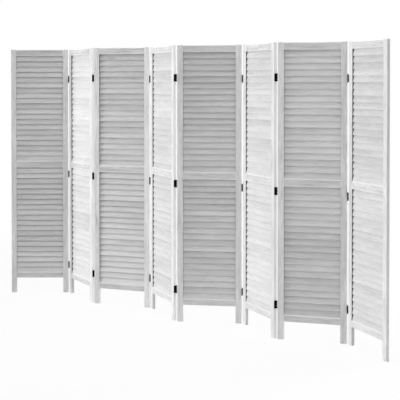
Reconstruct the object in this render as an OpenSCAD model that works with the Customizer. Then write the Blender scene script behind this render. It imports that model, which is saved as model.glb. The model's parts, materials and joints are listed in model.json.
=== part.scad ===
// Louvered folding screen: eight wooden panels joined edge to edge by butt hinges. Millimetres, +Z up.
// Panel 1 stands at the left when the screen is seen from its front, which faces -Y.
// Each panel is two stiles, three rails tenoned into them, and two banks of fixed slats housed in dados.
// The hinge barrels lie on the front at joints 1, 3, 5 and 7 and on the back at joints 2, 4 and 6,
// so the screen opens into a zigzag and closes into a flat stack.

/* [Panel] */
// Height of a panel, from the floor to the top of its stiles
panel_h = 1700; // [1300:10:2100]
// Width of a panel over both stiles
panel_w = 400; // [300:5:600]

/* [Stance] */
// Turn between panels 1 and 2, from 0 when they lie flat in one line to 180 when folded together
fold_1 = 61.5; // [0:0.5:180]
// Turn between panels 2 and 3
fold_2 = 40.5; // [0:0.5:180]
// Turn between panels 3 and 4
fold_3 = 46; // [0:0.5:180]
// Turn between panels 4 and 5
fold_4 = 58; // [0:0.5:180]
// Turn between panels 5 and 6
fold_5 = 57.5; // [0:0.5:180]
// Turn between panels 6 and 7
fold_6 = 49.5; // [0:0.5:180]
// Turn between panels 7 and 8
fold_7 = 52; // [0:0.5:180]

/* [Stiles] */
// Width of a stile, seen from the front
stile_w = 38; // [34:1:60]
// Thickness of a stile, which is the thickness of the panel
stile_t = 19; // [18:0.5:30]
// Radius of the two long edges on the hinge side of a stile
outer_arris = 3; // [0.5:0.5:4]
// Radius of the two long edges on the slat side of a stile
inner_arris = 1; // [0.5:0.5:2]

/* [Rails] */
// Height of the bottom rail's underside above the floor, which leaves the stile ends as feet
foot_h = 102; // [40:1:160]
// Height of the bottom rail
bottom_rail_h = 41; // [34:1:80]
// Height of the middle rail, which leaves two openings of equal height
middle_rail_h = 46; // [34:1:80]
// Height of the top rail
top_rail_h = 42; // [34:1:80]
// Depth of a rail's face behind the stile's face
rail_inset = 0.5; // [0:0.25:1]
// Radius of a rail's four long edges
rail_arris = 5; // [0.5:0.5:5]
// Length of a rail's tenon
tenon_l = 14; // [8:1:18]
// Thickness of a rail's tenon
tenon_t = 8; // [5:0.5:9]
// Step from a rail's top and bottom edges to its tenon
tenon_shoulder = 6; // [4:0.5:10]
// Clearance round a tenon in its mortise
tenon_fit = 0.1; // [0.05:0.05:0.3]

/* [Slats] */
// Number of slats in each of a panel's two openings
slat_count = 20; // [12:1:22]
// Width of a slat
slat_w = 39; // [30:0.5:42]
// Thickness of a slat, whose long edges are fully rounded
slat_t = 4; // [3:0.25:5]
// Tilt of a slat from upright, with its lower edge towards the front
slat_tilt = 12; // [10:1:18]
// Depth of the dado that houses the end of a slat
dado_d = 6; // [4:0.5:8]
// Clearance round a slat in its dado, and between the end slats and the rails
slat_fit = 0.2; // [0.1:0.05:0.3]

/* [Hinges] */
// Height of a hinge
hinge_h = 45; // [36:1:60]
// Height of the lower hinge's middle above the floor
lower_hinge_z = 195; // [100:1:400]
// Height of the middle hinge's middle above the floor, where the barrel is on the front
middle_hinge_front_z = 831; // [600:1:1000]
// Height of the middle hinge's middle above the floor, where the barrel is on the back
middle_hinge_back_z = 848; // [600:1:1000]
// Distance of the upper hinge's middle from the top of the panel, where the barrel is on the front
upper_hinge_front_drop = 206; // [100:1:250]
// Distance of the upper hinge's middle from the top of the panel, where the barrel is on the back
upper_hinge_back_drop = 200; // [100:1:250]
// Outer diameter of a hinge barrel
barrel_d = 6; // [5.8:0.1:8]
// Number of knuckles in a barrel, shared out in turn between the two leaves
knuckle_count = 5; // [3:2:5]
// Endwise clearance between two knuckles
knuckle_fit = 0.2; // [0.1:0.05:0.4]
// Diameter of a hinge pin
pin_d = 3; // [2.4:0.1:3]
// Radial clearance of a hinge pin in its knuckles
pin_fit = 0.05; // [0.02:0.01:0.08]
// Thickness of a hinge leaf
leaf_t = 1.2; // [1:0.05:1.2]
// Distance by which a leaf stops short of the far face of the stile
leaf_margin = 1; // [0.5:0.5:4]
// Clearance between a barrel and the face of the panel, and between a barrel and the other leaf
barrel_clearance = 0.2; // [0.1:0.05:0.5]

/* [Screws] */
// Diameter of a screw's shank
screw_d = 2.9; // [2.4:0.1:3.2]
// Length of a screw under and with its countersunk head
screw_l = 14; // [10:1:16]
// Diameter of a screw's head
screw_head_d = 5; // [4.6:0.1:5.2]
// Radial clearance of a screw in its leaf and its pilot hole
screw_fit = 0.05; // [0.02:0.01:0.1]

/* [Hidden] */
$fn = 48;
// The overshoot of a cut past the surface that it opens
cut = 1;
wood = [0.87, 0.86, 0.84];
black_steel = [0.07, 0.07, 0.07];

folds = [fold_1, fold_2, fold_3, fold_4, fold_5, fold_6, fold_7];
joint_count = len(folds);
panel_count = joint_count + 1;

barrel_r = barrel_d / 2;
bore_r = pin_d / 2 + pin_fit;
// The outer face of a leaf lies a tenth of a millimetre inside the barrel's tangent
leaf_tuck = 0.1;
leaf_outer = barrel_r - leaf_tuck;
stile_gap = 2 * leaf_outer;
pin_proud = barrel_r + barrel_clearance;
leaf_start = barrel_r + barrel_clearance;
leaf_end = pin_proud + stile_t - leaf_margin;
knuckle_h = hinge_h / knuckle_count;
// The step from a barrel's rim in to a pin's head
pin_head_step = 0.5;
pin_head_d = barrel_d - 2 * pin_head_step;
pin_head_h = 0.6;
pin_crown_h = 0.5;
pin_crown_d = 3.6;
pin_play = 0.05;

screw_head_h = (screw_head_d - screw_d) / 2;
screw_tip_l = 3;
screw_tip_d = 0.8;
// Clearance beyond the tip of a screw in its pilot hole
screw_end_fit = 0.5;
cross_l = 2.6;
cross_w = 0.6;
cross_d = 0.5;
screw_y = (leaf_start + leaf_end) / 2;
screw_levels = [hinge_h / 4, hinge_h * 3 / 4];

opening_h = (panel_h - foot_h - bottom_rail_h - middle_rail_h - top_rail_h) / 2;
lower_opening_z = foot_h + bottom_rail_h;
middle_rail_z = lower_opening_z + opening_h;
upper_opening_z = middle_rail_z + middle_rail_h;
top_rail_z = upper_opening_z + opening_h;
// Each rail as its underside's height and its own height
rails = [[foot_h, bottom_rail_h], [middle_rail_z, middle_rail_h], [top_rail_z, top_rail_h]];
rail_l = panel_w - 2 * stile_w;
// Clearance between the end of a tenon and the bottom of its mortise
tenon_end_fit = 0.5;

slat_rise = (slat_w - slat_t) * cos(slat_tilt) + slat_t;
slat_run = opening_h - 2 * slat_fit - slat_rise;
slat_pitch = slat_run / (slat_count - 1);
slat_z = [
    for (base = [lower_opening_z, upper_opening_z], i = [0 : slat_count - 1])
        base + slat_fit + slat_rise / 2 + i * slat_pitch
];
slat_x = stile_w - dado_d + slat_fit;

// A joint is numbered as the panel at its left. Odd joints have their barrels on the front.
function on_front(joint) = joint % 2 == 1;
function pin_y(joint) = on_front(joint) ? -pin_proud : stile_t + pin_proud;
function turn(joint) = on_front(joint) ? -folds[joint - 1] : folds[joint - 1];
function hinge_levels(joint) = [
    lower_hinge_z,
    on_front(joint) ? middle_hinge_front_z : middle_hinge_back_z,
    panel_h - (on_front(joint) ? upper_hinge_front_drop : upper_hinge_back_drop)
];
function spin(p, a) = [p.x * cos(a) - p.y * sin(a), p.x * sin(a) + p.y * cos(a)];

// A panel's place is the plan position of its front left corner, with its heading as the third number.
// The chain is first laid out with panel 1 along X, and then turned so that its two ends face along X.
function place_raw(k) = k == 1 ? [0, 0, 0] :
    let (
        before = place_raw(k - 1),
        heading = before[2] + turn(k - 1),
        pin = spin([panel_w + stile_gap / 2, pin_y(k - 1)], before[2]),
        back = spin([-stile_gap / 2, pin_y(k - 1)], heading)
    )
    [before.x + pin.x - back.x, before.y + pin.y - back.y, heading];
function in_plan(place, p) = [place.x, place.y] + spin(p, place[2]);

raw = [for (k = [1 : panel_count]) place_raw(k)];
far_end = in_plan(raw[panel_count - 1], [panel_w, 0]);
chain_turn = -atan2(far_end.y, far_end.x);
turned = [
    for (p = raw)
        let (q = spin([p.x, p.y], chain_turn))
        [q.x, q.y, p[2] + chain_turn]
];

// The origin is under the middle of the plan outline, which stile edges and hinge barrels bound.
stile_corners = [
    for (p = turned, x = [outer_arris, panel_w - outer_arris], y = [outer_arris, stile_t - outer_arris])
        in_plan(p, [x, y])
];
barrel_centres = [
    for (joint = [1 : joint_count])
        in_plan(turned[joint - 1], [panel_w + stile_gap / 2, pin_y(joint)])
];
function low(axis) = min([
    min([for (c = stile_corners) c[axis] - outer_arris]),
    min([for (c = barrel_centres) c[axis] - barrel_r])
]);
function high(axis) = max([
    max([for (c = stile_corners) c[axis] + outer_arris]),
    max([for (c = barrel_centres) c[axis] + barrel_r])
]);
plan_centre = [(low(0) + high(0)) / 2, (low(1) + high(1)) / 2];
places = [for (p = turned) [p.x - plan_centre.x, p.y - plan_centre.y, p[2]]];

function panel_node(k, piece) = str("panel_", k, "_", piece);

module at_panel(k) {
    translate([places[k - 1].x, places[k - 1].y, 0])
        rotate(places[k - 1][2])
            children();
}

// Takes a shape drawn for the left edge of a panel over to its right edge.
module on_right_edge() {
    translate([panel_w, 0, 0])
        mirror([1, 0, 0])
            children();
}

// Extrudes a shape drawn with Y to the right and Z up along X.
module along_x(length) {
    rotate([90, 0, 90])
        linear_extrude(length)
            children();
}

// A bar's section from x = 0 to w, with radius r0 on its two edges at x = 0 and r1 on the two at w.
module bar_section(w, t, r0, r1) {
    translate([r0, 0])
        square([w - r0 - r1, t]);
    translate([0, r0])
        square([r0, t - 2 * r0]);
    translate([w - r1, r1])
        square([r1, t - 2 * r1]);
    for (y = [r0, t - r0])
        translate([r0, y])
            circle(r0);
    for (y = [r1, t - r1])
        translate([w - r1, y])
            circle(r1);
}

// The tilted section of a slat, centred, with y to the right and z up. Its lower edge is at the front.
module slat_section(clearance) {
    rotate(-slat_tilt) {
        square([slat_t + 2 * clearance, slat_w - slat_t], center = true);
        for (end = [-1, 1])
            translate([0, end * (slat_w - slat_t) / 2])
                circle(slat_t / 2 + clearance);
    }
}

// The joints whose hinges are screwed to a panel's left edge and to its right edge.
function left_joint(k) = k - 1;
function right_joint(k) = k > joint_count ? 0 : k;

// Puts its children at each pin's foot, with the pin along Z and the panel's edge on the -X side.
// They are drawn for a barrel on the front of a right edge.
module at_right_hinges(k) {
    joint = right_joint(k);
    if (joint > 0)
        for (z = hinge_levels(joint))
            translate([panel_w + stile_gap / 2, pin_y(joint), z - hinge_h / 2])
                mirror([0, on_front(joint) ? 0 : 1, 0])
                    children();
}

module at_left_hinges(k) {
    joint = left_joint(k);
    if (joint > 0)
        for (z = hinge_levels(joint))
            translate([-stile_gap / 2, pin_y(joint), z - hinge_h / 2])
                mirror([0, on_front(joint) ? 0 : 1, 0])
                    mirror([1, 0, 0])
                        children();
}

// Puts its children at the screws of a leaf, with the head's face at z = 0 and the tip along +Z.
module at_leaf_screws() {
    for (z = screw_levels)
        translate([leaf_t - leaf_outer, screw_y, z])
            rotate([0, -90, 0])
                children();
}

module pilot_hole() {
    cylinder(h = screw_l + screw_end_fit, r = screw_d / 2 + screw_fit);
}

// A stile's blank with its housings, drawn as a left stile.
module housed_stile() {
    difference() {
        linear_extrude(panel_h)
            bar_section(stile_w, stile_t, outer_arris, inner_arris);
        for (z = slat_z)
            translate([stile_w - dado_d, stile_t / 2, z])
                along_x(dado_d + cut)
                    slat_section(slat_fit);
        for (rail = rails)
            translate([stile_w - tenon_l - tenon_end_fit, 0, rail[0] + tenon_shoulder - tenon_fit])
                translate([0, (stile_t - tenon_t) / 2 - tenon_fit, 0])
                    cube([
                        tenon_l + tenon_end_fit + cut,
                        tenon_t + 2 * tenon_fit,
                        rail[1] - 2 * tenon_shoulder + 2 * tenon_fit
                    ]);
    }
}

module left_stile(k) {
    color(wood)
        at_panel(k)
            difference() {
                housed_stile();
                at_left_hinges(k)
                    at_leaf_screws()
                        pilot_hole();
            }
}

module right_stile(k) {
    color(wood)
        at_panel(k)
            difference() {
                on_right_edge()
                    housed_stile();
                at_right_hinges(k)
                    at_leaf_screws()
                        pilot_hole();
            }
}

module rail(z, height) {
    translate([stile_w, rail_inset, z])
        along_x(rail_l)
            bar_section_upright(height);
    translate([stile_w - tenon_l, (stile_t - tenon_t) / 2, z + tenon_shoulder])
        cube([rail_l + 2 * tenon_l, tenon_t, height - 2 * tenon_shoulder]);
}

// A rail's section, with y to the right and z up.
module bar_section_upright(height) {
    bar_section(stile_t - 2 * rail_inset, height, rail_arris, rail_arris);
}

module panel_rails(k) {
    color(wood)
        at_panel(k)
            for (r = rails)
                rail(r[0], r[1]);
}

module slats(k) {
    color(wood)
        at_panel(k)
            for (z = slat_z)
                translate([slat_x, stile_t / 2, z])
                    along_x(panel_w - 2 * slat_x)
                        slat_section(0);
}

// One knuckle with the strip that joins it to its leaf. Knuckle 0 is at the foot of the hinge.
module knuckle(i) {
    base = i * knuckle_h + (i == 0 ? 0 : knuckle_fit / 2);
    top = (i + 1) * knuckle_h - (i == knuckle_count - 1 ? 0 : knuckle_fit / 2);
    translate([0, 0, base])
        difference() {
            union() {
                cylinder(h = top - base, r = barrel_r);
                translate([-leaf_outer, 0, 0])
                    cube([leaf_t, leaf_start, top - base]);
            }
            translate([0, 0, -cut])
                cylinder(h = top - base + 2 * cut, r = bore_r);
        }
}

// A leaf with every second knuckle, starting at the given one.
module leaf(first) {
    difference() {
        union() {
            translate([-leaf_outer, leaf_start, 0])
                cube([leaf_t, leaf_end - leaf_start, hinge_h]);
            for (i = [first : 2 : knuckle_count - 1])
                knuckle(i);
        }
        at_leaf_screws()
            screw_hole();
    }
}

// The countersunk hole through a leaf.
module screw_hole() {
    translate([0, 0, -cut])
        cylinder(h = cut, r = screw_head_d / 2 + screw_fit);
    cylinder(h = screw_head_h, r1 = screw_head_d / 2 + screw_fit, r2 = screw_d / 2 + screw_fit);
    cylinder(h = leaf_t + cut, r = screw_d / 2 + screw_fit);
}

module hinge_leaves(k) {
    color(black_steel)
        at_panel(k) {
            at_left_hinges(k)
                leaf(1);
            at_right_hinges(k)
                leaf(0);
        }
}

// A pin with a crowned head at each end, just clear of the end knuckles.
module hinge_pin() {
    translate([0, 0, -pin_play])
        cylinder(h = hinge_h + 2 * pin_play, d = pin_d);
    translate([0, 0, hinge_h + pin_play])
        pin_head();
    translate([0, 0, -pin_play])
        mirror([0, 0, 1])
            pin_head();
}

module pin_head() {
    cylinder(h = pin_head_h, d = pin_head_d);
    translate([0, 0, pin_head_h])
        cylinder(h = pin_crown_h, d1 = pin_head_d, d2 = pin_crown_d);
}

module hinge_pins(k) {
    color(black_steel)
        at_panel(k)
            at_right_hinges(k)
                hinge_pin();
}

// A countersunk screw with a cross recess, its head's face at z = 0 and its tip along +Z.
module screw() {
    difference() {
        union() {
            cylinder(h = screw_head_h, d1 = screw_head_d, d2 = screw_d);
            translate([0, 0, screw_head_h])
                cylinder(h = screw_l - screw_head_h - screw_tip_l, d = screw_d);
            translate([0, 0, screw_l - screw_tip_l])
                cylinder(h = screw_tip_l, d1 = screw_d, d2 = screw_tip_d);
        }
        for (a = [0, 90])
            rotate(a)
                translate([-cross_l / 2, -cross_w / 2, -cut])
                    cube([cross_l, cross_w, cross_d + cut]);
    }
}

module screws(k) {
    color(black_steel)
        at_panel(k) {
            at_left_hinges(k)
                at_leaf_screws()
                    screw();
            at_right_hinges(k)
                at_leaf_screws()
                    screw();
        }
}

for (k = [1 : panel_count]) {
    left_stile(k);
    right_stile(k);
    panel_rails(k);
    slats(k);
    hinge_leaves(k);
    hinge_pins(k);
    screws(k);
}
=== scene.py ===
# Looks of the louvered folding screen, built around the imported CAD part. Metres, +Z up.
# The open screen runs along X and its front faces -Y. The CAD stiles, rails, hinges and screws are kept.
# The slats are rebuilt a little bowed and twisted, as thin wood dries, in the places of the CAD ones.

import json
import math
import random

import bmesh
import bpy
import numpy as np
from mathutils import Matrix, Vector


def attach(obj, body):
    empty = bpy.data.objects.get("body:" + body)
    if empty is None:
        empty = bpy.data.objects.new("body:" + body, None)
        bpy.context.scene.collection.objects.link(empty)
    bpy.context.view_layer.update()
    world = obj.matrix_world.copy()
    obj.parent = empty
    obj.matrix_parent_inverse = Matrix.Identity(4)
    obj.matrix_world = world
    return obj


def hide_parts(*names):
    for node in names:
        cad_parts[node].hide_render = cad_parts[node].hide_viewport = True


IMAGE_PX = 400
SENSOR_MM = 36.0

# The photograph's camera, from a least-squares fit of the screen's corners
CAMERA_PLACE = (4.0817, -5.0130, 1.4685)
CAMERA_TURN = math.radians(38.375)
CAMERA_DIP = math.radians(1.132)
FOCAL_PX = 1039.9
HORIZON_AXIS_PX = 103.5

PANEL_COUNT = 8
# Seeds of the random draws: every board's grain and each slat's bend and tone, then the tones of a panel's
# stiles, rails and bank of slats, then its painted shade between the slats. The last two aren't arbitrary.
# A search picked them from millions, as the ones whose draws come closest to the tones and slat lines of
# the photograph's panels.
GRAIN_SEED = 20
BOARD_SEED = 369176
GAP_SHADE_SEED = 1455897
# Extent of the wood that the boards are cut from: along the grain, across it and through it
WOOD_EXTENT = (50, 5, 5)

# How far a slat's middle departs from straight, as a standard deviation and at most. Dados hold its ends.
SLAT_BOW = 0.0004
SLAT_BOW_LIMIT = 0.0012
SLAT_TWIST = math.radians(0.4)
SLAT_TWIST_LIMIT = math.radians(1.5)
# The most that a slat's bend leans towards one of its ends, as a share of the bend
SLAT_SWAY_LIMIT = 0.4
# Even places along a slat's mesh, and steps round each of its rounded edges
SLAT_STATIONS = 9
SLAT_ARC_STEPS = 6
# Places of the points along a slat's flat face, as shares of its half-height above the middle.
# Painted shade darkens the face between the last two of them, and fully past them, close to the next slat.
SLAT_FACE_PLACES = (-0.55, -0.3, 0.3, 0.55)
# Length of a slat's end that sits in its dado, and of the stretch beside the stile darkened by painted shade
SLAT_HOUSED = 0.0058
SLAT_SHADED_STRETCH = 0.0025
# Points of a CAD slat's mesh that are closer than this are one
MERGE_DISTANCE = 1e-6

# Linear colours
PAINT = (0.90, 0.90, 0.90, 1.0)
BARE_WOOD = (0.36, 0.36, 0.36, 1.0)
# Painted highlight: a whiter tone for the lit arrises and edges
PAINTED_HIGHLIGHT = (0.95, 0.95, 0.95, 1.0)
# Painted shade: a near-black tone for recesses and gaps that light hardly reaches
PAINTED_SHADE = (0.09, 0.09, 0.09, 1.0)
STEEL_BLACK = (0.004, 0.004, 0.004, 1.0)
STEEL_WORN = (0.012, 0.012, 0.012, 1.0)
FLOOR_WHITE = (0.85, 0.85, 0.85, 1.0)
WHITE = (1.0, 1.0, 1.0, 1.0)

# Mean share of bare wood that shows through the wash
STILE_WEAR = 0.23
RAIL_WEAR = 0.42
SLAT_WEAR = 0.40
# How much one board's share departs from the others', and how much it drifts up a panel's slats
FRAMING_SPREAD = 0.14
BANK_SPREAD = 0.10
BANK_DRIFT = 0.30
SLAT_SPREAD = 0.09
# How strongly the grain shows on each kind of board
FRAMING_CONTRAST = 0.9
SLAT_CONTRAST = 0.5
# Share of a near-black tone, painted shade where the light hardly reaches: the stiles' inner faces between
# the slats, and the slats' faces close to a stile
INNER_FACE_SHADE = 0.85
SLAT_END_SHADE = 0.45
# Painted shade close to the next slat, in the lower and the upper opening, and how far a panel departs from
# it
SLAT_GAP_SHADE = (0.10, 0.0)
SLAT_GAP_SHADE_SPREAD = 0.12

# Heights of a panel's two openings above the floor, each from rail to rail
OPENINGS = ((0.143, 0.8775), (0.9235, 1.658))
# A painted highlight along a rail's edges at the openings: full as far as the first, and none past the second
RAIL_EDGE_HIGHLIGHT_REACH = (0.004, 0.009)
RAIL_EDGE_HIGHLIGHT = 0.5
# The same for the painted light on the stiles' outer faces
OUTER_FACE_LIGHT = 0.5
# Height over which the painted shade on a stile's inner face fades in at the foot of the lower opening
FOOT_FADE = 0.004
# Cosines between a surface and a direction: it begins to face that way at the first, and does at the second
FACING_FADE = (0.80, 0.99)
# The same towards the nearest of the panel's axes: a rounded arris up to the first, and a flat face from
# the second
ARRIS_FADE = (0.80, 0.995)

# Noise behind the wood's figure: cells per metre along the grain, across it and through the board, then
# its detail and roughness
WANDER_NOISE = ((3.0, 9.0, 9.0), 1.0, 0.55)
BLOTCH_NOISE = ((4.0, 24.0, 24.0), 2.0, 0.55)
STREAK_NOISE = ((8.0, 95.0, 95.0), 2.0, 0.55)
FIBRE_NOISE = ((18.0, 340.0, 340.0), 3.0, 0.6)
PORE_NOISE = ((26.0, 1500.0, 1500.0), 2.0, 0.55)
# Width of the band in which a streak wanders, and the levels of noise between which a pore deepens
WANDER_SPAN = 0.004
PORE_FADE = (0.10, 0.20)
# Knots: cells per metre in the same directions, radians of the rings' wave to a cell, and the distances
# from a knot's middle, in cells, between which its rings and the knot itself fade away
KNOT_CELLS = (1.7, 15.0, 15.0)
RING_RATE = 62.0
RING_FADE = (0.10, 0.55)
KNOT_FADE = (0.03, 0.09)
# How much each part of the figure adds to the share of bare wood
BLOTCH_WEIGHT = 0.8
STREAK_WEIGHT = 0.5
FIBRE_WEIGHT = 1.1
PORE_WEIGHT = 0.16
RING_WEIGHT = 0.09
KNOT_WEIGHT = 0.4
# Relief and gloss of the wood
FIBRE_HEIGHT = 0.8
PORE_DEPTH = 0.6
WOOD_BUMP = {"Strength": 0.5, "Distance": 0.0005}
WOOD_SPECULAR = 0.35
PAINT_ROUGHNESS = 0.50
BARE_ROUGHNESS = 0.75

# The hinges' paint: where it is rubbed thin, its orange peel, its relief and its gloss
RUB_NOISE = ((180.0, 180.0, 180.0), 3.0, 0.55)
RUB_FADE = (0.05, 0.25)
PEEL_NOISE = ((1800.0, 1800.0, 1800.0), 1.0, 0.55)
STEEL_BUMP = {"Strength": 0.3, "Distance": 0.0001}
STEEL_SPECULAR = 0.12
STEEL_ROUGHNESS = 0.34
WORN_ROUGHNESS = 0.49

# Strength of the world's light on the screen
WORLD_LEVEL = 0.06
# Strength at which the world and the floor are plain white
WHITE_LEVEL = 1.0
# Half of the floor's width
FLOOR_REACH = 30.0
# Share of a camera ray that the floor answers as plain white; the rest keeps the screen's shadow.
# It grows to the whole between two distances from the screen's middle, where no shadow falls.
FLOOR_FLATNESS = 0.9
FLOOR_FADE = (2.5, 5.0)
# Each lamp's name, its turn from the front towards the right and its rise over the floor in degrees, its
# distance from the place that all of them light, its size and its watts
LAMPS = (
    ("key", -58, 8, 12.0, 3.0, 960.0),
    ("fill", 60, 10, 12.0, 4.0, 105.0),
    ("upper_fill", 60, 60, 8.0, 4.0, 115.0),
    ("back", 150, 20, 6.0, 3.0, 210.0),
    ("overhead", 0, 90, 5.15, 6.0, 260.0),
)
LAMP_AIM = (0.0, 0.0, 0.85)


def node(tree, kind, inputs=None, **settings):
    """Adds a shader node. Inputs map a socket's name or number to a value or to another node's socket."""
    made = tree.nodes.new(kind)
    for name, value in settings.items():
        setattr(made, name, value)
    for key, value in (inputs or {}).items():
        if isinstance(value, bpy.types.NodeSocket):
            tree.links.new(value, made.inputs[key])
        else:
            made.inputs[key].default_value = value
    return made


def calc(tree, operation, *values):
    """The result of a Math node."""
    return node(tree, "ShaderNodeMath", dict(enumerate(values)), operation=operation).outputs[0]


def between(tree, share, low, high):
    """The value from low, where the share is 0, to high, where it is 1."""
    return calc(tree, "MULTIPLY_ADD", share, high - low, low)


def scaled(tree, vector, factors):
    """A vector with each of its parts multiplied."""
    inputs = {0: vector, 1: factors}
    return node(tree, "ShaderNodeVectorMath", inputs, operation="MULTIPLY").outputs[0]


def remap(tree, value, low, high, to_low=0.0, to_high=1.0):
    """A value moved smoothly from the range low..high to the range to_low..to_high."""
    inputs = {"Value": value, "From Min": low, "From Max": high, "To Min": to_low, "To Max": to_high}
    return node(tree, "ShaderNodeMapRange", inputs, interpolation_type="SMOOTHSTEP").outputs["Result"]


def noise(tree, vector, factors, detail, roughness):
    """Noise stretched by the factors, centred on zero."""
    inputs = {"Vector": scaled(tree, vector, factors), "Scale": 1.0, "Detail": detail, "Roughness": roughness}
    made = node(tree, "ShaderNodeTexNoise", inputs, noise_dimensions="3D")
    return calc(tree, "SUBTRACT", made.outputs["Fac"], 0.5)


def blend_colour(tree, share, first, second):
    """The mix of two colours."""
    made = node(tree, "ShaderNodeMix", {"Factor": share}, data_type="RGBA")
    for socket, value in zip([s for s in made.inputs if s.type == "RGBA"], (first, second)):
        if isinstance(value, bpy.types.NodeSocket):
            tree.links.new(value, socket)
        else:
            socket.default_value = value
    return next(s for s in made.outputs if s.type == "RGBA")


def wood_grain_group():
    """Whitewash on light open-grained wood. Board is a place in the board in metres, with X along the
    grain. Wear is the share of bare wood that shows, and Contrast is how much of its figure does. A painted
    highlight whitens it as far as its highlight input is 1, and painted shade darkens it as far as its shade
    input is 1."""
    group = bpy.data.node_groups.new("whitewash", "ShaderNodeTree")
    for name, way, kind in (
        ("Board", "INPUT", "Vector"),
        ("Wear", "INPUT", "Float"),
        ("Contrast", "INPUT", "Float"),
        ("Edge", "INPUT", "Float"),
        ("Recess", "INPUT", "Float"),
        ("Color", "OUTPUT", "Color"),
        ("Roughness", "OUTPUT", "Float"),
        ("Height", "OUTPUT", "Float"),
    ):
        group.interface.new_socket(name, in_out=way, socket_type=f"NodeSocket{kind}")
    given = group.nodes.new("NodeGroupInput").outputs
    board = given["Board"]

    # Streaks wander a little across the board instead of running dead straight
    wander = calc(group, "MULTIPLY", noise(group, board, *WANDER_NOISE), WANDER_SPAN)
    shift = node(group, "ShaderNodeCombineXYZ", {"Y": wander, "Z": wander}).outputs[0]
    place = node(group, "ShaderNodeVectorMath", {0: board, 1: shift}, operation="ADD").outputs[0]

    blotch = noise(group, place, *BLOTCH_NOISE)
    streak = noise(group, place, *STREAK_NOISE)
    fibre = noise(group, place, *FIBRE_NOISE)
    pore = remap(group, noise(group, place, *PORE_NOISE), *PORE_FADE)

    # Rings round knots, stretched along the board, which show as arched figure and a few small knots
    inputs = {"Vector": scaled(group, place, KNOT_CELLS), "Scale": 1.0}
    cell = node(group, "ShaderNodeTexVoronoi", inputs, voronoi_dimensions="3D").outputs["Distance"]
    wave = calc(group, "SINE", calc(group, "MULTIPLY", cell, RING_RATE))
    ring = calc(group, "MULTIPLY", wave, remap(group, cell, *RING_FADE, 1.0, 0.0))
    knot = remap(group, cell, *KNOT_FADE, 1.0, 0.0)

    shown = 0.0
    for part, weight in (
        (blotch, BLOTCH_WEIGHT),
        (streak, STREAK_WEIGHT),
        (fibre, FIBRE_WEIGHT),
        (pore, PORE_WEIGHT),
        (ring, RING_WEIGHT),
        (knot, KNOT_WEIGHT),
    ):
        shown = calc(group, "MULTIPLY_ADD", part, weight, shown)
    bare = calc(group, "MULTIPLY_ADD", shown, given["Contrast"], given["Wear"])
    bare = node(group, "ShaderNodeClamp", {"Value": bare}).outputs[0]
    painted = blend_colour(group, bare, PAINT, BARE_WOOD)
    # Painted highlight on lit edges, then painted shade in recesses and gaps
    edged = blend_colour(group, given["Edge"], painted, PAINTED_HIGHLIGHT)
    colour = blend_colour(group, given["Recess"], edged, PAINTED_SHADE)

    rough = between(group, bare, PAINT_ROUGHNESS, BARE_ROUGHNESS)
    height = calc(group, "MULTIPLY_ADD", pore, -PORE_DEPTH, calc(group, "MULTIPLY", fibre, FIBRE_HEIGHT))
    out = group.nodes.new("NodeGroupOutput")
    for name, value in (("Color", colour), ("Roughness", rough), ("Height", height)):
        group.links.new(value, out.inputs[name])
    return group


def new_material(name):
    """A material without nodes, and its tree."""
    made = bpy.data.materials.new(name)
    made.use_nodes = True
    made.node_tree.nodes.clear()
    return made, made.node_tree


def finish_surface(tree, colour, rough, height, bump, specular):
    """Ends a material's tree in a shader with this colour, roughness, relief and gloss."""
    relief = node(tree, "ShaderNodeBump", bump | {"Height": height})
    inputs = {
        "Base Color": colour,
        "Roughness": rough,
        "Normal": relief.outputs[0],
        "Specular IOR Level": specular,
    }
    shader = node(tree, "ShaderNodeBsdfPrincipled", inputs)
    node(tree, "ShaderNodeOutputMaterial", {"Surface": shader.outputs[0]})


def wood_material(name, group, makers):
    """Finishes a wood material. Makers give the group's inputs by name, each from the material's tree."""
    made, tree = new_material(name)
    grain = tree.nodes.new("ShaderNodeGroup")
    grain.node_tree = group
    for socket, maker in makers.items():
        value = maker(tree)
        if isinstance(value, bpy.types.NodeSocket):
            tree.links.new(value, grain.inputs[socket])
        else:
            grain.inputs[socket].default_value = value
    colour, rough, height = (grain.outputs[socket] for socket in ("Color", "Roughness", "Height"))
    finish_surface(tree, colour, rough, height, WOOD_BUMP, WOOD_SPECULAR)
    return made


def panel_coordinates(tree, panel):
    """Places on a CAD piece in its panel's own frame, from the piece's rest coordinates."""
    rest = node(tree, "ShaderNodeTexCoord").outputs["Object"]
    inputs = {"Vector": rest, "Location": panel.translation, "Rotation": panel.to_euler()}
    mapped = node(tree, "ShaderNodeMapping", inputs, vector_type="TEXTURE").outputs[0]
    return node(tree, "ShaderNodeSeparateXYZ", {0: mapped}).outputs


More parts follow.
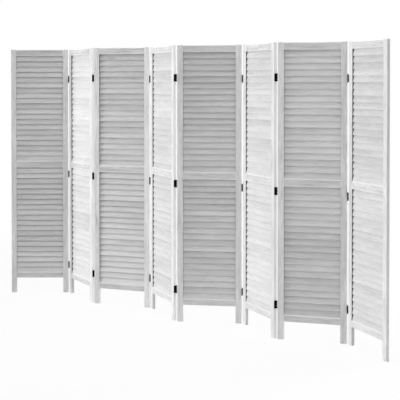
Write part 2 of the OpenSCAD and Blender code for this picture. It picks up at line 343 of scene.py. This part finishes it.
def framing_material(name, group, panel, axes, offset, wear, inner):
    """Wood for a stile or the rails. Axes are the panel's axes along the grain, across it and through the
    board, and offset is the board's place in the wood. Inner is 1 or -1 where the face that holds the slats
    looks along the panel's X or against it, else 0."""

    def board(tree):
        parts = panel_coordinates(tree, panel)
        inputs = {i: parts[axis] for i, axis in enumerate(axes)}
        picked = node(tree, "ShaderNodeCombineXYZ", inputs).outputs[0]
        return node(tree, "ShaderNodeVectorMath", {0: picked, 1: offset}, operation="ADD").outputs[0]

    def facing(tree):
        normal = node(tree, "ShaderNodeTexCoord").outputs["Normal"]
        inputs = {"Vector": normal, "Angle": -panel.to_euler().z}
        return node(tree, "ShaderNodeVectorRotate", inputs, rotation_type="Z_AXIS").outputs[0]

    def inward(tree):
        x = node(tree, "ShaderNodeSeparateXYZ", {0: facing(tree)}).outputs["X"]
        return calc(tree, "MULTIPLY", x, inner)

    # Painted shade on a stile's inner face between the slats
    def recess(tree):
        if not inner:
            return 0.0
        beside = remap(tree, inward(tree), *FACING_FADE, 0.0, INNER_FACE_SHADE)
        height = panel_coordinates(tree, panel)["Z"]
        bottom = OPENINGS[0][0]
        return calc(tree, "MULTIPLY", beside, remap(tree, height, bottom - FOOT_FADE, bottom))

    # Painted highlight on the rounded arrises and along the rails' edges at the openings, and painted light
    # on the stiles' outer faces
    def edge(tree):
        # The rounded arrises are where the surface faces along none of the panel's axes
        sides = node(tree, "ShaderNodeVectorMath", {0: facing(tree)}, operation="ABSOLUTE").outputs[0]
        x, y, z = node(tree, "ShaderNodeSeparateXYZ", {0: sides}).outputs
        flat = calc(tree, "MAXIMUM", calc(tree, "MAXIMUM", x, y), z)
        painted = remap(tree, flat, *ARRIS_FADE, 1.0, 0.0)
        if inner:
            begun, square = FACING_FADE
            outer_light = remap(tree, inward(tree), -square, -begun, OUTER_FACE_LIGHT, 0.0)
            return calc(tree, "MAXIMUM", painted, outer_light)
        height = panel_coordinates(tree, panel)["Z"]
        for level in sum(OPENINGS, ()):
            away = calc(tree, "ABSOLUTE", calc(tree, "SUBTRACT", height, level))
            painted = calc(tree, "MAXIMUM", painted, remap(tree, away, *RAIL_EDGE_HIGHLIGHT_REACH, RAIL_EDGE_HIGHLIGHT, 0.0))
        return painted

    makers = {"Board": board, "Edge": edge, "Recess": recess}
    makers |= {"Wear": lambda tree: wear, "Contrast": lambda tree: FRAMING_CONTRAST}
    return wood_material(name, group, makers)


def slat_material(group):
    """Wood for the slats, whose meshes carry their own places in the wood, wear, painted highlight and
    painted shade.
    """

    def attribute(name, output):
        return lambda tree: node(tree, "ShaderNodeAttribute", attribute_name=name).outputs[output]

    makers = {"Board": attribute("board", "Vector"), "Contrast": lambda tree: SLAT_CONTRAST}
    makers |= {name.title(): attribute(name, "Fac") for name in ("wear", "edge", "recess")}
    return wood_material("whitewashed_slats", group, makers)


def steel_material():
    """Black stoved paint on steel, slightly orange-peeled and rubbed thin in places."""
    made, tree = new_material("black_steel_paint")
    place = node(tree, "ShaderNodeTexCoord").outputs["Object"]
    rubbed = remap(tree, noise(tree, place, *RUB_NOISE), *RUB_FADE)
    peel = noise(tree, place, *PEEL_NOISE)
    rough = between(tree, rubbed, STEEL_ROUGHNESS, WORN_ROUGHNESS)
    colour = blend_colour(tree, rubbed, STEEL_BLACK, STEEL_WORN)
    finish_surface(tree, colour, rough, peel, STEEL_BUMP, STEEL_SPECULAR)
    return made


def panel_frame(mounts, k):
    """Panel k's own frame: from the floor midway between its feet, X to its right end, Y to its back."""
    left, right = (Vector(mounts[f"panel_{k}_{side}_foot"]) for side in ("left", "right"))
    x = (right - left).normalized()
    y = Vector((-x.y, x.x, 0.0))
    made = Matrix((x, y, (0.0, 0.0, 1.0))).transposed().to_4x4()
    made.translation = (left + right) / 2
    return made


def board_place(rng):
    """The place in the wood that a board is cut from, so that no two boards show the same grain."""
    return Vector([rng.uniform(0, extent) for extent in WOOD_EXTENT])


def cad_slats(cad_node, panel):
    """Each CAD slat's centre, length, width, thickness and tilt, in its panel's frame, lowest slat first.
    The tilt is that of the point furthest from the slat's middle. That point lies just beside the slat's
    axis, so the tilt comes out 0.4 degrees off, and the thickness 0.3 mm too large."""
    work = bmesh.new()
    work.from_mesh(cad_node.data)
    bmesh.ops.transform(work, matrix=panel.inverted(), verts=work.verts)
    bmesh.ops.remove_doubles(work, verts=work.verts, dist=MERGE_DISTANCE)
    left_over = set(work.verts)
    found = []
    while left_over:
        island = set()
        queue = [left_over.pop()]
        while queue:
            vert = queue.pop()
            island.add(vert)
            joined = {e.other_vert(vert) for e in vert.link_edges} & left_over
            left_over -= joined
            queue.extend(joined)
        points = np.array([v.co for v in island])
        low, high = points.min(0), points.max(0)
        centre = (low + high) / 2
        section = points[:, 1:] - centre[1:]
        far = section[np.argmax((section ** 2).sum(1))]
        far = far if far[1] > 0 else -far
        tilt = math.atan2(far[0], far[1])
        along = np.array([math.sin(tilt), math.cos(tilt)])
        across = np.array([math.cos(tilt), -math.sin(tilt)])
        width, thickness = (2 * np.abs(section @ axis).max() for axis in (along, across))
        found.append((centre, high[0] - low[0], width, thickness, tilt))
    work.free()
    return sorted(found, key=lambda slat: slat[0][2])


def slat_outline(width, thickness):
    """Points round a slat's section with fully rounded edges, as (across, along) pairs."""
    radius = thickness / 2
    half = (width - thickness) / 2
    points = []
    for side in (1, -1):
        points.append((side * radius, -side * half))
        points.extend((side * radius, place * half) for place in SLAT_FACE_PLACES[::side])
        for i in range(SLAT_ARC_STEPS):
            angle = math.pi * i / SLAT_ARC_STEPS
            points.append((side * radius * math.cos(angle), side * (half + radius * math.sin(angle))))
    return points


def slat_stations(length):
    """Places along a slat, as shares of its length: even ones, and the limits of its stretches of painted
    shade beside the stiles.
    """
    face = SLAT_HOUSED / length
    clear = (SLAT_HOUSED + SLAT_SHADED_STRETCH) / length
    even = [clear + (1 - 2 * clear) * i / (SLAT_STATIONS - 1) for i in range(SLAT_STATIONS)]
    return [0.0, face] + even + [1 - face, 1.0]


def slat_recess(share, length, across, along, width, thickness, gap_shade):
    """The share of painted shade at a point of a slat: beside a stile, and close to the next slat, which lies
    over the top of the front face and over the bottom of the back face, as far as the last argument gives."""
    beside = min(share, 1 - share) * length < SLAT_HOUSED + SLAT_SHADED_STRETCH / 2
    place = (along if across < 0 else -along) / ((width - thickness) / 2)
    start, end = SLAT_FACE_PLACES[-2:]
    covered = min(1.0, max(0.0, (place - start) / (end - start)))
    return max(SLAT_END_SHADE * beside, gap_shade * covered)


def within(value, limit):
    """The value, held between -limit and limit."""
    return max(-limit, min(limit, value))


def panel_slats(k, cad_node, panel, material, mean_wear, drift, gap_shades, rng):
    """The slats of panel k as one mesh, in the row frame, in place of the CAD node.
    Drift is how much more bare wood the highest slat shows than the lowest. The gap shades are the shares of
    painted shade close to the next slat, in the lower and the upper opening."""
    verts, faces, boards, wears, edges, recesses = [], [], [], [], [], []
    slats = cad_slats(cad_node, panel)
    for number, (centre, length, width, thickness, tilt) in enumerate(slats):
        outline = slat_outline(width, thickness)
        around = len(outline)
        bow = within(rng.gauss(0, SLAT_BOW), SLAT_BOW_LIMIT)
        twist = within(rng.gauss(0, SLAT_TWIST), SLAT_TWIST_LIMIT)
        sway = rng.uniform(-SLAT_SWAY_LIMIT, SLAT_SWAY_LIMIT)
        wear = mean_wear + drift * (number / (len(slats) - 1) - 0.5) + SLAT_SPREAD * rng.uniform(-1, 1)
        offset = board_place(rng)
        gap_shade = gap_shades[len(gap_shades) * number // len(slats)]
        first = len(verts)
        stations = slat_stations(length)
        for share in stations:
            lift = math.sin(math.pi * share) + sway * math.sin(2 * math.pi * share)
            x = (share - 0.5) * length
            angle = tilt + twist * lift
            for across, along in outline:
                y = centre[1] + bow * lift + across * math.cos(angle) + along * math.sin(angle)
                z = centre[2] - across * math.sin(angle) + along * math.cos(angle)
                verts.append(panel @ Vector((centre[0] + x, y, z)))
                boards.append(Vector((x, along, across)) + offset)
                wears.append(wear)
                # Painted highlight on the slat's lower rounded edge
                edges.append(max(0.0, 1 - (width / 2 + along) / (thickness / 2)))
                # Painted shade beside the stiles and close to the next slat
                recesses.append(slat_recess(share, length, across, along, width, thickness, gap_shade))
        for i in range(len(stations) - 1):
            for j in range(around):
                a = first + i * around + j
                b = first + i * around + (j + 1) % around
                faces.append((a, a + around, b + around, b))
        faces.append([first + j for j in range(around)])
        faces.append([len(verts) - around + j for j in reversed(range(around))])
    mesh = bpy.data.meshes.new(f"slats_{k}")
    mesh.from_pydata(verts, [], faces)
    for name, kind, field, values in (
        ("board", "FLOAT_VECTOR", "vector", [x for v in boards for x in v]),
        ("wear", "FLOAT", "value", wears),
        ("edge", "FLOAT", "value", edges),
        ("recess", "FLOAT", "value", recesses),
    ):
        mesh.attributes.new(name, kind, "POINT").data.foreach_set(field, values)
    mesh.polygons.foreach_set("use_smooth", [len(f) == 4 for f in faces])
    mesh.materials.append(material)
    made = bpy.data.objects.new(f"slats_{k}", mesh)
    bpy.context.scene.collection.objects.link(made)
    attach(made, f"panel_{k}")
    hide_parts(cad_node.name)


def dress(cad_node, material):
    """Gives a CAD node its finish."""
    cad_node.data.materials.clear()
    cad_node.data.materials.append(material)


def make_camera():
    """The photograph's camera."""
    data = bpy.data.cameras.new("camera")
    data.sensor_width = SENSOR_MM
    data.lens = FOCAL_PX / IMAGE_PX * data.sensor_width
    data.shift_y = (HORIZON_AXIS_PX - IMAGE_PX / 2) / IMAGE_PX
    made = bpy.data.objects.new("camera", data)
    made.location = CAMERA_PLACE
    made.rotation_euler = (math.pi / 2 - CAMERA_DIP, 0.0, CAMERA_TURN)
    bpy.context.scene.collection.objects.link(made)
    bpy.context.scene.camera = made


def seen_plainly(tree):
    """1 where a ray comes straight from the camera or off gloss or through glass, else 0."""
    path = node(tree, "ShaderNodeLightPath").outputs
    glossy = calc(tree, "MAXIMUM", path["Is Glossy Ray"], path["Is Transmission Ray"])
    return calc(tree, "MAXIMUM", path["Is Camera Ray"], glossy)


def make_world():
    """A dim white surrounding that shows as plain white."""
    world = bpy.data.worlds.new("studio")
    bpy.context.scene.world = world
    world.use_nodes = True
    tree = world.node_tree
    tree.nodes.clear()
    level = between(tree, seen_plainly(tree), WORLD_LEVEL, WHITE_LEVEL)
    sky = node(tree, "ShaderNodeBackground", {"Color": WHITE, "Strength": level})
    node(tree, "ShaderNodeOutputWorld", {"Surface": sky.outputs[0]})


def make_floor():
    """A white floor that keeps the screen's shadow."""
    mesh = bpy.data.meshes.new("floor")
    corners = [(x * FLOOR_REACH, y * FLOOR_REACH, 0.0) for x, y in ((-1, -1), (1, -1), (1, 1), (-1, 1))]
    mesh.from_pydata(corners, [], [(0, 1, 2, 3)])
    made, tree = new_material("white_floor")
    plain = node(tree, "ShaderNodeBsdfDiffuse", {"Color": FLOOR_WHITE})
    white = node(tree, "ShaderNodeEmission", {"Color": WHITE, "Strength": WHITE_LEVEL})
    place = node(tree, "ShaderNodeTexCoord").outputs["Object"]
    away = node(tree, "ShaderNodeVectorMath", {0: place}, operation="LENGTH").outputs["Value"]
    share = calc(tree, "MULTIPLY", seen_plainly(tree), remap(tree, away, *FLOOR_FADE, FLOOR_FLATNESS, 1.0))
    mixed = node(tree, "ShaderNodeMixShader", {0: share, 1: plain.outputs[0], 2: white.outputs[0]})
    node(tree, "ShaderNodeOutputMaterial", {"Surface": mixed.outputs[0]})
    mesh.materials.append(made)
    floor = bpy.data.objects.new("floor", mesh)
    bpy.context.scene.collection.objects.link(floor)


def softbox(name, place, aim, size, watts):
    """A square soft light that the camera doesn't see."""
    data = bpy.data.lights.new(name, "AREA")
    data.shape = "SQUARE"
    data.size = size
    data.energy = watts
    made = bpy.data.objects.new(name, data)
    made.location = place
    made.rotation_euler = (aim - place).to_track_quat("-Z", "Y").to_euler()
    made.visible_camera = False
    bpy.context.scene.collection.objects.link(made)


def make_lights():
    """A key from the left, two weak fills from the right, a lamp behind and a wide one overhead."""
    aim = Vector(LAMP_AIM)
    for name, azimuth, elevation, distance, size, watts in LAMPS:
        turn, rise = math.radians(azimuth), math.radians(elevation)
        way = Vector((math.sin(turn) * math.cos(rise), -math.cos(turn) * math.cos(rise), math.sin(rise)))
        softbox(name, aim + distance * way, aim, size, watts)


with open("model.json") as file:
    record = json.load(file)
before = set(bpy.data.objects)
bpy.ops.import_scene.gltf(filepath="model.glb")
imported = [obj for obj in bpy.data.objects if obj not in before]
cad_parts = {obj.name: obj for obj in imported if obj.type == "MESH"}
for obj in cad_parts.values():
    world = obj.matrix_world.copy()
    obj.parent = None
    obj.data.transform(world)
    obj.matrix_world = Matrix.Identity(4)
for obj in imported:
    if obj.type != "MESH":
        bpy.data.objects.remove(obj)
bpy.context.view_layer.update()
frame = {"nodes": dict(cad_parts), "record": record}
make_camera()
make_world()
make_floor()
make_lights()

rng = random.Random(GRAIN_SEED)
board_rng = random.Random(BOARD_SEED)
gap_shade_rng = random.Random(GAP_SHADE_SEED)
grain = wood_grain_group()
slat_wood = slat_material(grain)
steel = steel_material()
mounts = {m["name"]: m["pos_m"] for m in frame["record"]["mounts"]}
for k in range(1, PANEL_COUNT + 1):
    panel = panel_frame(mounts, k)
    left, right, rails, bank, drift = (board_rng.uniform(-1, 1) for _ in range(5))
    for piece, axes, wear, inner in (
        ("left_stile", (2, 0, 1), STILE_WEAR + FRAMING_SPREAD * left, 1),
        ("right_stile", (2, 0, 1), STILE_WEAR + FRAMING_SPREAD * right, -1),
        ("rails", (0, 2, 1), RAIL_WEAR + FRAMING_SPREAD * rails, 0),
    ):
        name = f"panel_{k}_{piece}"
        material = framing_material(f"{name}_wood", grain, panel, axes, board_place(rng), wear, inner)
        dress(frame["nodes"][name], material)
    cad_node = frame["nodes"][f"panel_{k}_slats"]
    wear = SLAT_WEAR + BANK_SPREAD * bank
    # Painted shade close to the next slat, for the lower and the upper opening
    gap_shades = [max(0.0, mean + SLAT_GAP_SHADE_SPREAD * gap_shade_rng.uniform(-1, 1)) for mean in SLAT_GAP_SHADE]
    panel_slats(k, cad_node, panel, slat_wood, wear, BANK_DRIFT * drift, gap_shades, rng)
    for piece in ("hinge_leaves", "hinge_pins", "screws"):
        if f"panel_{k}_{piece}" in frame["nodes"]:
            dress(frame["nodes"][f"panel_{k}_{piece}"], steel)

bpy.context.scene.view_settings.view_transform = "Standard"
